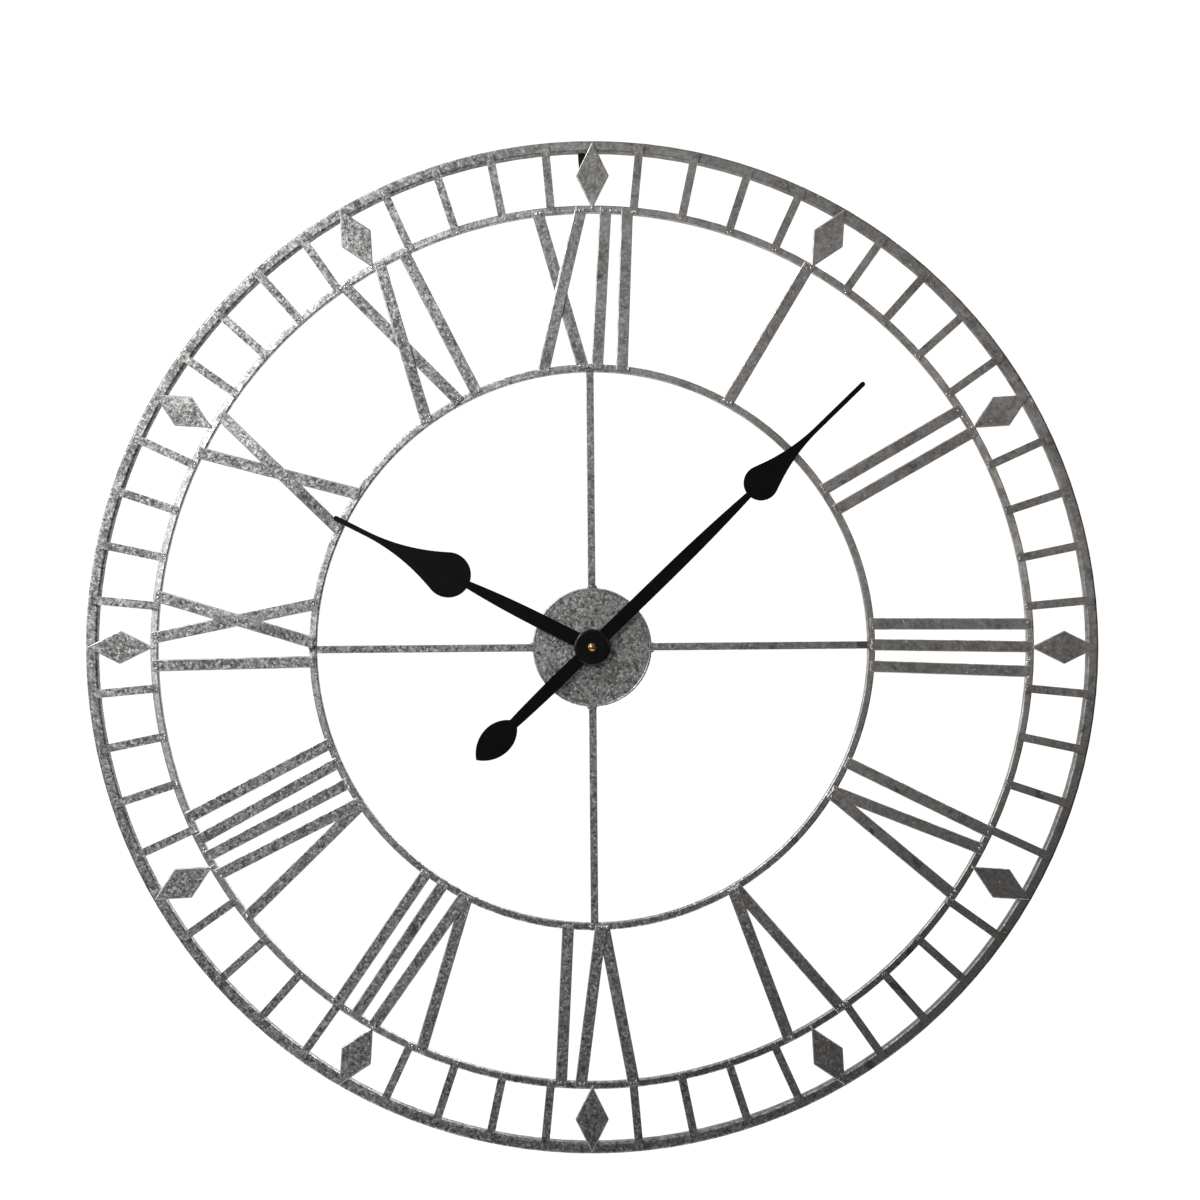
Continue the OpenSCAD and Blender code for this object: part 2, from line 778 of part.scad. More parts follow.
// Domed nut on the tip of the minute arbor
module cap_nut() {
    cap_r = 3.55;
    skirt = 0.6;
    dome = 2.4;
    dome_r = (cap_r * cap_r + dome * dome) / (2 * dome);
    color(BRASS) difference() {
        turned() intersection() {
            union() {
                translate([0, cap_d]) square([cap_r, skirt + eps]);
                translate([0, cap_d + skirt + dome - dome_r]) circle(dome_r);
            }
            translate([0, cap_d]) square([cap_r, skirt + dome]);
        }
        shaft(centre_at, arbor_tip_r, cap_d - 1, cap_d + 1.4);
    }
}

// ---- the parts ---------------------------------------------------------------------------
outer_ring();
middle_ring();
inner_ring();
spokes();
minute_bars();
hour_lozenges();
for (hour = [1:12])
    numeral(hour);
hanger_plate();
hub_drum();
hub_plate();
rubber_washer();
brass_washer();
hex_nut();
threaded_bush();
movement_case();
movement_cover();
battery_contacts();
battery();
circuit_board();
circuit_chip();
quartz_crystal();
stator();
coil_bobbin();
coil_winding();
rotor();
step_wheel();
seconds_wheel();
third_wheel();
centre_wheel();
minute_arbor();
minute_wheel();
set_knob();
hour_wheel();
hour_hand_collet();
hour_hand();
minute_hand();
minute_hand_boss();
cap_nut();
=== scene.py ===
"""The looks of the open-frame wall clock: zinc-coated steel, black spade hands, a brass cap nut
and a quartz movement in a can. Everything is in metres in the clock's own frame: the hands turn
about the Y axis, the wall is the plane Y = 0, the clock faces -Y and +Z is up."""

import json
import math
import random

import bmesh
import bpy
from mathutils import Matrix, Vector, noise


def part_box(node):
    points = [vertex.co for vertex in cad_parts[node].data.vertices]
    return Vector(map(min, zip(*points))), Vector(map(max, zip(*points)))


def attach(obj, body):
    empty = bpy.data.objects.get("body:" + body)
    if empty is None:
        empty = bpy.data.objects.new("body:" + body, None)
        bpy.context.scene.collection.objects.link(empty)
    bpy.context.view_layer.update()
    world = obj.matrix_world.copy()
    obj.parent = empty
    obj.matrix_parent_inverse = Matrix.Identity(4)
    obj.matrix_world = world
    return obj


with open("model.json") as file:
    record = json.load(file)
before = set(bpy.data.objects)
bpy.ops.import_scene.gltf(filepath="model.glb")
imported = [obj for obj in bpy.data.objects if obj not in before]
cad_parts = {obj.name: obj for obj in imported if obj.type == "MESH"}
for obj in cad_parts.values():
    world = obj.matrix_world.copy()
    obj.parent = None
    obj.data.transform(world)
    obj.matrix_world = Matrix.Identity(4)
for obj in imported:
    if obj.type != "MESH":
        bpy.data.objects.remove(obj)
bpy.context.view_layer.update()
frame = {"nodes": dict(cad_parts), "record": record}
nodes = frame["nodes"]
MM = 0.001

# ---- camera --------------------------------------------------------------------------------

RING_FRONT_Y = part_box("middle_ring")[0].y
CAMERA_DISTANCE = 1.65      # from the rings' front faces
FRAME_WIDTH = 0.947         # what the picture spans at the rings' front faces
SENSOR = 36.0               # millimetres
PICTURE_SHIFT = (0.0065, 0.0394)    # the clock sits a little left of the middle, and below it
CLIP = (0.05, 50.0)


def make_camera():
    data = bpy.data.cameras.new("camera")
    data.sensor_width = SENSOR
    data.lens = SENSOR * CAMERA_DISTANCE / FRAME_WIDTH
    data.shift_x, data.shift_y = PICTURE_SHIFT
    data.clip_start, data.clip_end = CLIP
    camera = bpy.data.objects.new("camera", data)
    camera.location = (0.0, RING_FRONT_Y - CAMERA_DISTANCE, 0.0)
    camera.rotation_euler = (math.pi / 2, 0.0, 0.0)
    bpy.context.scene.collection.objects.link(camera)
    bpy.context.scene.camera = camera


# ---- stage and light -----------------------------------------------------------------------

FLOOR_BELOW = 1.3           # from the hands' axis down to the floor
FLOOR_RADIUS = 1.5          # small enough to stay below the picture from straight ahead
FLOOR_SEGMENTS = 96
FLOOR_WHITE = (0.9, 0.9, 0.9, 1.0)
FLOOR_ROUGHNESS = 0.9
FILL_FROM = Vector((-0.55, 0.0, 0.83))      # where the fill is strongest: the upper left
FILL_SPAN = (-0.3, 0.5)     # how far a direction leans to FILL_FROM, from darkest to brightest
FILL_DARK = 0.020           # light from the lower right
FILL_BRIGHT = 0.25          # light from the upper left
REAR_SPAN = (0.1, 0.8)      # how far a direction leans straight back, from none to all of it
FILL_REAR = 0.45            # light added from behind the clock
FILL_TINT = (0.98, 0.99, 1.0, 1.0)
PURE_WHITE = (1.0, 1.0, 1.0, 1.0)
SEEN_STRENGTH = 1.05        # what the camera sees round the clock


def link(name, mesh):
    piece = bpy.data.objects.new(name, mesh)
    bpy.context.scene.collection.objects.link(piece)
    return piece


def make_floor():
    bm = bmesh.new()
    bmesh.ops.create_circle(bm, cap_ends=True, segments=FLOOR_SEGMENTS, radius=FLOOR_RADIUS)
    mesh = bpy.data.meshes.new("floor")
    bm.to_mesh(mesh)
    bm.free()
    floor = link("floor", mesh)
    floor.location = (0.0, 0.0, -FLOOR_BELOW)
    material = bpy.data.materials.new("floor")
    material.use_nodes = True
    shader = material.node_tree.nodes["Principled BSDF"]
    shader.inputs["Base Color"].default_value = FLOOR_WHITE
    shader.inputs["Roughness"].default_value = FLOOR_ROUGHNESS
    mesh.materials.append(material)


def map_range(tree, value, came, goes, interpolation):
    """Maps the span that came covers to the span that goes covers, clamped."""
    made = tree.nodes.new("ShaderNodeMapRange")
    made.interpolation_type = interpolation
    for socket, number in zip(("From Min", "From Max", "To Min", "To Max"), (*came, *goes)):
        made.inputs[socket].default_value = number
    tree.links.new(value, made.inputs["Value"])
    return made.outputs[0]


def make_world():
    """Soft light from all round, strongest from the upper left and weakest from the lower right,
    with more from behind. The camera itself sees plain white."""
    world = bpy.data.worlds.new("studio")
    world.use_nodes = True
    tree = world.node_tree
    tree.nodes.clear()
    output = tree.nodes.new("ShaderNodeOutputWorld")
    mix = tree.nodes.new("ShaderNodeMixShader")
    path = tree.nodes.new("ShaderNodeLightPath")
    fill = tree.nodes.new("ShaderNodeBackground")
    seen = tree.nodes.new("ShaderNodeBackground")
    direction = tree.nodes.new("ShaderNodeTexCoord").outputs["Generated"]
    toward = tree.nodes.new("ShaderNodeVectorMath")
    toward.operation = "DOT_PRODUCT"
    toward.inputs[1].default_value = FILL_FROM
    tree.links.new(direction, toward.inputs[0])
    split = tree.nodes.new("ShaderNodeSeparateXYZ")
    tree.links.new(direction, split.inputs[0])
    lean, back = toward.outputs["Value"], split.outputs["Y"]
    both = tree.nodes.new("ShaderNodeMath")
    both.operation = "ADD"
    side_fill = map_range(tree, lean, FILL_SPAN, (FILL_DARK, FILL_BRIGHT), "SMOOTHSTEP")
    rear_fill = map_range(tree, back, REAR_SPAN, (0.0, FILL_REAR), "LINEAR")
    tree.links.new(side_fill, both.inputs[0])
    tree.links.new(rear_fill, both.inputs[1])
    fill.inputs["Color"].default_value = FILL_TINT
    tree.links.new(both.outputs[0], fill.inputs["Strength"])
    seen.inputs["Color"].default_value = PURE_WHITE
    seen.inputs["Strength"].default_value = SEEN_STRENGTH
    tree.links.new(path.outputs["Is Camera Ray"], mix.inputs[0])
    tree.links.new(fill.outputs[0], mix.inputs[1])
    tree.links.new(seen.outputs[0], mix.inputs[2])
    tree.links.new(mix.outputs[0], output.inputs["Surface"])
    bpy.context.scene.world = world


def softbox(name, place, size, power, colour=(1.0, 1.0, 1.0)):
    """A square lamp aimed at the clock's centre; size is its side, and power is in watts."""
    data = bpy.data.lights.new(name, "AREA")
    data.shape = "SQUARE"
    data.size = size
    data.energy = power
    data.color = colour
    lamp = bpy.data.objects.new(name, data)
    lamp.location = place
    lamp.rotation_euler = (-Vector(place)).to_track_quat("-Z", "Y").to_euler()
    bpy.context.scene.collection.objects.link(lamp)


def make_lights():
    softbox("front_light", place=(-0.95, -2.2, 0.62), size=0.9, power=8.5)
    softbox("key_light", place=(-1.5, -1.3, 1.3), size=0.6, power=18.0)
    softbox("left_edge_light", place=(-2.4, -0.20, 0.5), size=1.0, power=10.0)
    softbox("top_edge_light", place=(-1.2, -0.20, 2.3), size=1.0, power=10.0)
    softbox("right_light", place=(1.15, -2.2, 0.42), size=0.6, power=2.2, colour=(1.0, 0.94, 0.90))
    softbox("rear_light", place=(1.3, 2.2, 1.8), size=1.6, power=30.0)


# ---- shader building -----------------------------------------------------------------------


class Shader:
    """A material with one Principled shader, and short calls for the nodes that feed it."""

    def __init__(self, name, **values):
        self.material = bpy.data.materials.new(name)
        self.material.use_nodes = True
        self.tree = self.material.node_tree
        self.principled = self.tree.nodes["Principled BSDF"]
        self.coords = self.node("ShaderNodeTexCoord").outputs["Object"]
        for socket, value in values.items():
            self.set(socket.replace("_", " ").title(), value)

    def node(self, kind, **settings):
        made = self.tree.nodes.new(kind)
        for key, value in settings.items():
            setattr(made, key, value)
        return made

    def feed(self, socket, value):
        """Links an output to a socket, or sets the socket's own value."""
        if isinstance(value, bpy.types.NodeSocket):
            self.tree.links.new(value, socket)
        elif isinstance(value, tuple) and len(value) == 3 and len(socket.default_value) == 4:
            socket.default_value = (*value, 1.0)
        else:
            socket.default_value = value

    def set(self, socket, value):
        for made in self.principled.inputs:
            if made.name.title() == socket:
                self.feed(made, value)
                return
        raise KeyError(socket)

    def scaled(self, sx, sy, sz):
        """The place on the piece, stretched along each axis."""
        made = self.node("ShaderNodeMapping")
        self.feed(made.inputs["Vector"], self.coords)
        made.inputs["Scale"].default_value = (sx, sy, sz)
        return made.outputs[0]

    def noise(self, size, detail=3.0, roughness=0.55, distortion=0.0, coords=None, seed=0.0):
        """Cloudy noise from 0 to 1 whose features are about size metres across."""
        made = self.node("ShaderNodeTexNoise", noise_dimensions="4D")
        self.feed(made.inputs["Vector"], coords or self.coords)
        made.inputs["Scale"].default_value = 1.0 / size
        made.inputs["Detail"].default_value = detail
        made.inputs["Roughness"].default_value = roughness
        made.inputs["Distortion"].default_value = distortion
        made.inputs["W"].default_value = seed
        return made.outputs["Fac"]

    def span(self, value, low, high, to_low=0.0, to_high=1.0):
        """Maps low..high to to_low..to_high with soft ends, clamped."""
        return map_range(self.tree, value, (low, high), (to_low, to_high), "SMOOTHSTEP")

    def math(self, operation, a, b=0.0):
        made = self.node("ShaderNodeMath", operation=operation)
        self.feed(made.inputs[0], a)
        self.feed(made.inputs[1], b)
        return made.outputs[0]

    def mix(self, factor, a, b):
        """Colour a where factor is 0 and b where it is 1. A Mix node has its colours at inputs 6
        and 7 and at output 2."""
        made = self.node("ShaderNodeMix", data_type="RGBA")
        self.feed(made.inputs[0], factor)
        self.feed(made.inputs[6], a)
        self.feed(made.inputs[7], b)
        return made.outputs[2]

    def ramp(self, factor, *stops):
        """A colour ramp; each stop is (place, colour)."""
        made = self.node("ShaderNodeValToRGB")
        self.feed(made.inputs[0], factor)
        elements = made.color_ramp.elements
        while len(elements) < len(stops):
            elements.new(0.5)
        for element, (place, colour) in zip(elements, stops):
            element.position = place
            element.color = (*colour, 1.0)
        return made.outputs["Color"]

    def bump(self, height, depth):
        """Relief of that depth in metres where height goes from 0 to 1."""
        made = self.node("ShaderNodeBump")
        made.inputs["Strength"].default_value = 1.0
        made.inputs["Distance"].default_value = depth
        self.feed(made.inputs["Height"], height)
        return made.outputs[0]


def grey(level, warmth=0.0):
    """A near-neutral colour; warmth above 0 leans to brown."""
    return (level * (1 + warmth), level, level * (1 - warmth))


# ---- materials -----------------------------------------------------------------------------

# Where the zinc changes across the clock, in metres along the two slanting directions that
# zinc_steel works out: from full to none for the painted highlight on the left, and from none to
# full for the plainer right and the painted shade at the lower right
RUBBED_LEFT = (-0.33, -0.16)
PLAIN_RIGHT = (-0.12, 0.28)
SHADE_LOWER_RIGHT = (0.22, 0.42)
STAIN = (0.085, 0.066, 0.055)


def zinc_steel(
    name="zinc_steel", lift=1.0, roughness=(0.54, 0.38), fleck=1.0, left_highlight=0.0, relief=0.0003
):
    """Zinc-coated flat bar, worn back: cloudy light and dark patches, dark flecks, veins where
    the coating crept, brown stains and bright specks. lift brightens it, and fleck is how heavy
    the dark flecks are; towards the clock's right they fade into a plainer, warmer tone, and at
    the lower right painted shade darkens it. The argument after fleck is how strongly a painted
    highlight whitens the clock's left, and relief is how deep its unevenness goes, in metres."""
    s = Shader(name, metallic=1.0)
    split = s.node("ShaderNodeSeparateXYZ")
    s.feed(split.inputs[0], s.coords)
    right, up = split.outputs["X"], split.outputs["Z"]
    side = s.math("ADD", right, s.math("MULTIPLY", up, 0.35))
    lower_right = s.math("SUBTRACT", s.math("MULTIPLY", right, 0.6), up)
    smooth = s.span(side, *PLAIN_RIGHT)
    patch = s.noise(0.030, 4.0, 0.55, 0.8)
    cloud = s.noise(0.0075, 4.0, 0.68, 1.2, seed=3.0)
    flecks = s.span(s.noise(0.0028, 3.0, 0.66, 0.7, seed=7.0), 0.41, 0.53)
    grain = s.noise(0.0021, 2.0, 0.6, seed=9.0)
    stain = s.noise(0.016, 3.0, 0.6, 0.6, seed=21.0)
    vein = s.noise(0.011, 4.0, 0.60, 2.6, seed=11.0)
    speck = s.noise(0.0026, 2.0, 0.5, seed=17.0)
    tone = s.math("ADD", s.math("MULTIPLY", patch, 0.40), s.math("MULTIPLY", cloud, 0.60))
    colour = s.ramp(
        tone,
        (0.34, grey(0.17 * lift, 0.05)),
        (0.45, grey(0.32 * lift, 0.03)),
        (0.54, grey(0.48 * lift, 0.01)),
        (0.66, grey(0.68 * lift, 0.01)),
    )
    plain = s.ramp(
        tone, (0.40, grey(0.24 * lift, 0.06)), (0.60, grey(0.50 * lift, 0.05))
    )
    dark = s.mix(s.span(grain, 0.30, 0.70), grey(0.08 * lift, 0.05), grey(0.22 * lift, 0.04))
    cover = s.math("MULTIPLY", s.math("SUBTRACT", 1.0, flecks), 0.9 * fleck)
    colour = s.mix(cover, colour, dark)
    colour = s.mix(s.span(grain, 0.51, 0.64, 0.0, 0.85), colour, grey(0.88 * lift))
    colour = s.mix(s.span(smooth, 0.0, 1.0, 0.0, 0.80), colour, plain)
    lines = s.math("ABSOLUTE", s.math("SUBTRACT", vein, 0.5))
    on_line = s.span(lines, 0.0, 0.018, 0.8, 0.0)
    crept = s.math("MULTIPLY", on_line, s.span(smooth, 0.3, 1.0, 1.0, 0.4))
    colour = s.mix(crept, colour, grey(0.08 * lift, 0.03))
    stained = s.math("MULTIPLY", s.span(stain, 0.62, 0.71), 0.7)
    colour = s.mix(stained, colour, STAIN)
    # painted shade: the colour darkens towards the clock's lower right, away from the light at the
    # upper left
    painted_shade = s.span(lower_right, *SHADE_LOWER_RIGHT, 0.0, 0.42)
    colour = s.mix(painted_shade, colour, grey(0.09, 0.02))
    # painted highlight: the colour is whitened on the clock's left, where the light comes from
    white = s.math("MULTIPLY", s.span(side, *RUBBED_LEFT, 1.0, 0.0), left_highlight)
    colour = s.mix(white, colour, grey(0.97))
    bright = s.span(speck, 0.68, 0.74)
    colour = s.mix(bright, colour, grey(0.9))
    s.set("Base Color", colour)
    s.set("Roughness", s.span(tone, 0.35, 0.70, *roughness))
    height = s.math("ADD", s.math("MULTIPLY", cloud, 0.6), s.math("MULTIPLY", flecks, 0.15))
    s.set("Normal", s.bump(height, relief))
    return s.material


def drawn_steel():
    """The square bar of the thin rings: brighter and glossier, with a painted highlight whitening
    it on the left.
    """
    return zinc_steel(
        "drawn_steel", lift=1.5, roughness=(0.40, 0.28), fleck=0.8, left_highlight=0.35, relief=0.00012
    )


def weld_metal(name, dark, light, roughness):
    """Weld beads under the zinc, from dark grey to light grey."""
    s = Shader(name, metallic=1.0)
    cloud = s.noise(0.0022, 3.0, seed=5.0)
    s.set("Base Color", s.ramp(cloud, (0.35, grey(dark, 0.03)), (0.60, grey(light, 0.01))))
    s.set("Roughness", s.span(cloud, 0.3, 0.7, *roughness))
    s.set("Normal", s.bump(s.noise(0.0009, 2.0), 0.00008))
    return s.material


def worn_edge():
    """The bars' corners, where the coating is worn through to bright metal."""
    s = Shader("worn_edge", metallic=1.0)
    wear = s.noise(0.006, 4.0, seed=4.0)
    s.set("Base Color", s.ramp(wear, (0.35, grey(0.45, 0.02)), (0.60, grey(0.85))))
    s.set("Roughness", s.span(wear, 0.35, 0.60, 0.44, 0.34))
    return s.material


def rolled_rim():
    """The can's wall and rolled rim: brighter than its plate, with faint flecks."""
    return zinc_steel("rolled_rim", lift=1.35, roughness=(0.46, 0.34), fleck=0.35)


def crackled_zinc():
    """The can's front plate: a little brighter and more heavily flecked."""
    return zinc_steel("crackled_zinc", lift=1.15, roughness=(0.48, 0.34), fleck=1.1)


def rolled_bar():
    """The outer ring, with a shallower relief."""
    return zinc_steel("rolled_bar", relief=0.00015)


def hand_black():
    """Satin black paint on thin sheet, with a faint orange-peel."""
    s = Shader("hand_black", roughness=0.36, specular_ior_level=0.14)
    cloud = s.noise(0.012, 3.0)
    s.set("Base Color", s.ramp(cloud, (0.3, grey(0.002)), (0.7, grey(0.0045))))
    s.set("Normal", s.bump(s.noise(0.0008, 2.0), 0.00002))
    return s.material


def boss_black():
    """Glossy black paint on the round boss."""
    s = Shader("boss_black", roughness=0.14, specular_ior_level=0.5)
    cloud = s.noise(0.006, 3.0)
    s.set("Base Color", s.ramp(cloud, (0.3, grey(0.003)), (0.7, grey(0.006))))
    s.set("Normal", s.bump(s.noise(0.0006, 2.0), 0.000012))
    return s.material


def hanger_black():
    """Cloudy, rather matt black paint on the hanger plate."""
    s = Shader("hanger_black")
    cloud = s.noise(0.004, 4.0)
    s.set("Base Color", s.ramp(cloud, (0.35, grey(0.010)), (0.7, (0.028, 0.027, 0.026))))
    s.set("Roughness", s.span(cloud, 0.3, 0.7, 0.42, 0.62))
    s.set("Normal", s.bump(s.noise(0.0009, 3.0), 0.00006))
    return s.material


def brass():
    """Brass with fine tool marks and a slight tarnish."""
    s = Shader("brass", metallic=1.0)
    turned = s.noise(0.00035, 2.0, coords=s.scaled(0.6, 1.0, 0.6))
    tarnish = s.noise(0.003, 4.0, seed=2.0)
    s.set("Base Color", s.ramp(tarnish, (0.3, (0.44, 0.25, 0.09)), (0.65, (0.66, 0.41, 0.17))))
    s.set("Roughness", s.span(tarnish, 0.3, 0.7, 0.30, 0.18))
    s.set("Normal", s.bump(turned, 0.000015))
    return s.material


def rubber():
    """Matt black rubber with a grey bloom."""
    s = Shader("rubber", roughness=0.8)
    bloom = s.noise(0.004, 4.0)
    s.set("Base Color", s.ramp(bloom, (0.35, grey(0.018)), (0.7, (0.040, 0.039, 0.038))))
    s.set("Normal", s.bump(s.noise(0.0005, 2.0), 0.00004))
    return s.material


def moulded(name, dark, light, grain=0.00045, depth=0.00003, roughness=(0.42, 0.58)):
    """Moulded plastic with a spark-eroded grain and a faint flow of colour."""
    s = Shader(name)
    flow = s.noise(0.011, 3.0, distortion=1.0)
    texture = s.noise(grain, 2.0)
    s.set("Base Color", s.ramp(flow, (0.3, dark), (0.7, light)))
    s.set("Roughness", s.span(texture, 0.35, 0.65, *roughness))
    s.set("Normal", s.bump(texture, depth))
    return s.material


def spring_steel():
    """Rolled strip, with its grain along X."""
    s = Shader("spring_steel", metallic=1.0)
    rolled = s.noise(0.0004, 2.0, coords=s.scaled(0.08, 1.0, 1.0))
    s.set("Base Color", s.ramp(rolled, (0.3, grey(0.48)), (0.7, grey(0.66))))
    s.set("Roughness", s.span(rolled, 0.3, 0.7, 0.24, 0.40))
    s.set("Normal", s.bump(rolled, 0.00001))
    return s.material


def crystal_can():
    """A drawn metal can, with its grain along Z."""
    s = Shader("crystal_can", metallic=1.0)
    drawn = s.noise(0.0003, 2.0, coords=s.scaled(1.0, 1.0, 0.1))
    s.set("Base Color", s.ramp(drawn, (0.3, grey(0.62)), (0.7, grey(0.80))))
    s.set("Roughness", s.span(drawn, 0.3, 0.7, 0.14, 0.28))
    return s.material


COPPER_SHARE = 0.30         # of the battery's length
POSITIVE_BARE = 1.3 * MM    # bare metal at each end, past the sleeve
NEGATIVE_BARE = 0.5 * MM
SLEEVE_BLUR = 0.2 * MM      # over which one colour turns into the next


def battery_sleeve():
    """A plain shrink sleeve: dark teal with a copper-coloured positive end, and bare metal ends."""
    s = Shader("battery_sleeve", metallic=0.7, roughness=0.28)
    body_lo, body_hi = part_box("battery")
    split = s.node("ShaderNodeSeparateXYZ")
    s.feed(split.inputs[0], s.coords)
    x = split.outputs["X"]
    film = s.noise(0.009, 3.0)
    teal = s.ramp(film, (0.3, (0.010, 0.055, 0.075)), (0.7, (0.016, 0.080, 0.105)))
    copper = s.ramp(film, (0.3, (0.52, 0.26, 0.12)), (0.7, (0.66, 0.36, 0.18)))
    bare = grey(0.7)
    band = body_hi.x - COPPER_SHARE * (body_hi.x - body_lo.x)
    colour = s.mix(s.span(x, band - SLEEVE_BLUR, band + SLEEVE_BLUR), teal, copper)
    positive_end = body_hi.x - POSITIVE_BARE
    colour = s.mix(s.span(x, positive_end, positive_end + SLEEVE_BLUR), colour, bare)
    negative_end = body_lo.x + NEGATIVE_BARE
    colour = s.mix(s.span(x, negative_end - SLEEVE_BLUR, negative_end), bare, colour)
    s.set("Base Color", colour)
    s.set("Normal", s.bump(s.noise(0.0025, 2.0), 0.00002))
    return s.material


def board():
    """Green circuit board with a faint weave."""
    s = Shader("board", roughness=0.35)
    weave = s.noise(0.0012, 2.0)
    s.set("Base Color", s.ramp(weave, (0.35, (0.012, 0.070, 0.030)), (0.65, (0.022, 0.110, 0.050))))
    s.set("Normal", s.bump(weave, 0.00002))
    return s.material


def resin():
    """A glossy black drop of resin."""
    s = Shader("resin", roughness=0.18)
    flow = s.noise(0.002, 2.0)
    s.set("Base Color", s.ramp(flow, (0.3, grey(0.006)), (0.7, grey(0.014))))
    s.set("Normal", s.bump(flow, 0.00008))
    return s.material


def copper_wire():
    """Fine enamelled wire, wound side by side along X."""
    s = Shader("copper_wire", metallic=1.0, roughness=0.25)
    turns = s.node("ShaderNodeTexWave", wave_type="BANDS", bands_direction="X")
    s.feed(turns.inputs["Vector"], s.coords)
    turns.inputs["Scale"].default_value = 900.0
    turns.inputs["Distortion"].default_value = 0.6
    tone = turns.outputs["Fac"]
    s.set("Base Color", s.ramp(tone, (0.1, (0.25, 0.07, 0.02)), (0.8, (0.72, 0.30, 0.12))))
    s.set("Normal", s.bump(tone, 0.00012))
    return s.material


def magnet():
    """Dark sintered metal."""
    s = Shader("magnet", metallic=0.6)
    grain = s.noise(0.0006, 3.0)
    s.set("Base Color", s.ramp(grain, (0.35, grey(0.05)), (0.65, grey(0.12))))
    s.set("Roughness", s.span(grain, 0.3, 0.7, 0.35, 0.55))
    return s.material


def slot_materials():
    """One material for each of the record's slots."""
    return {
        "zinc_steel": zinc_steel(),
        "black_paint": hanger_black(),
        "black_hands": hand_black(),
        "black_boss": boss_black(),
        "brass": brass(),
        "rubber": rubber(),
        "black_plastic": moulded("black_plastic", (0.018, 0.018, 0.019), (0.028, 0.028, 0.030)),
        "acetal": moulded(
            "acetal", (0.66, 0.66, 0.61), (0.80, 0.80, 0.76), 0.0006, 0.00001, (0.30, 0.40)
        ),
        "acetal_black": moulded("acetal_black", (0.060, 0.060, 0.062), (0.085, 0.085, 0.088)),
        "spring_steel": spring_steel(),
        "crystal_can": crystal_can(),
        "battery_sleeve": battery_sleeve(),
        "board": board(),
        "resin": resin(),
        "copper_wire": copper_wire(),
        "magnet": magnet(),
    }


def dress_nodes(materials):
    """Gives every CAD node the material of the slot that the record names for it, and then the
    rings and the can their own kinds of zinc."""
    for part in frame["record"]["subparts"]:
        mesh = nodes[part["node"]].data
        mesh.materials.clear()
        mesh.materials.append(materials[part["material_slot"]])
    bar = drawn_steel()
    for name in ("middle_ring", "inner_ring"):
        nodes[name].data.materials[0] = bar
    nodes["outer_ring"].data.materials[0] = rolled_bar()
    nodes["hub_drum"].data.materials[0] = rolled_rim()
    nodes["hub_plate"].data.materials[0] = crackled_zinc()


# ---- edges ---------------------------------------------------------------------------------

# How far each CAD node's edges are rounded, in millimetres
EDGES = {
    "outer_ring": 2.0, "middle_ring": 1.2, "inner_ring": 1.2, "spokes": 0.4,
    "minute_bars": 0.8, "hour_lozenges": 0.8, "hub_plate": 0.3, "hanger_plate": 0.3,
    "hour_hand": 0.3, "minute_hand": 0.3, "hex_nut": 0.3, "battery_contacts": 0.1,
}
NUMERAL_EDGE = 0.8
WORN = ("minute_bars", "hour_lozenges", "spokes")   # rubbed bright there, like the numerals
JOIN_WITHIN = 0.01 * MM     # corners of neighbouring faces that are one point
ROUNDING_SEGMENTS = 3
SHARPEST_SMOOTH = math.radians(35)      # an edge that turns less than this isn't rounded
WORN_MATERIAL = 1           # the place of the worn material in a piece's list


def soften_edges(name, radius, edge_material):
    """Rounds the hard edges of a CAD node by radius millimetres."""
    piece = nodes[name]
    weld = piece.modifiers.new("join_faces", "WELD")
    weld.merge_threshold = JOIN_WITHIN
    bevel = piece.modifiers.new("edges", "BEVEL")
    bevel.width = radius * MM
    bevel.segments = ROUNDING_SEGMENTS
    bevel.limit_method = "ANGLE"
    bevel.angle_limit = SHARPEST_SMOOTH
    bevel.use_clamp_overlap = True
    bevel.harden_normals = True
    if name in WORN or name.startswith("numeral_"):
        piece.data.materials.append(edge_material)
        bevel.material = WORN_MATERIAL


def soften_all():
    edge_material = worn_edge()
    for name, radius in EDGES.items():
        soften_edges(name, radius, edge_material)
    for name in nodes:
        if name.startswith("numeral_"):
            soften_edges(name, NUMERAL_EDGE, edge_material)


# ---- welds ---------------------------------------------------------------------------------

WELD_SEED = 7
STROKE_END = 0.014          # corners closer together than this belong to one bar end
MIDDLE_WELD_R = 0.3444      # the radii at which the bars are welded to the rings
INNER_WELD_R = 0.2212
TIP_FARTHER = 0.0015        # the lozenges' tips are welded that much farther out
NUMERAL_OUTER_END = (0.335, 0.350)      # the radii between which the bars' ends lie
NUMERAL_INNER_END = (0.217, 0.230)
MINUTE_BAR_END = (0.342, 0.346)
LOZENGE_TIP = (0.344, 0.350)
BEAD_SKIN = ((0.28, 1.3), (0.10, 3.5))  # how deep and how fine each layer of unevenness is
BEADS_MISSING = 0.15        # share of the beads that are left out
BEAD_ROUND = 0.6            # how far a bead strays along the ring, in millimetres
BEAD_OUT = 0.9              # and across it
SPOKE_LUMP = 0.0030         # radius of the lump at a spoke's outer end
LUMP_PROUD = 0.0004         # its middle lies that far in front of the spoke's front face
DRUM_FILLET = 0.0016        # radius of the fillets at a spoke's inner end
FILLET_SUNK = 0.0015        # their middles lie that far behind the spoke's front face
FILLET_CLEAR = 0.0002       # outside the can's wall
FILLET_ASIDE = 0.0027       # and from the spoke's middle line


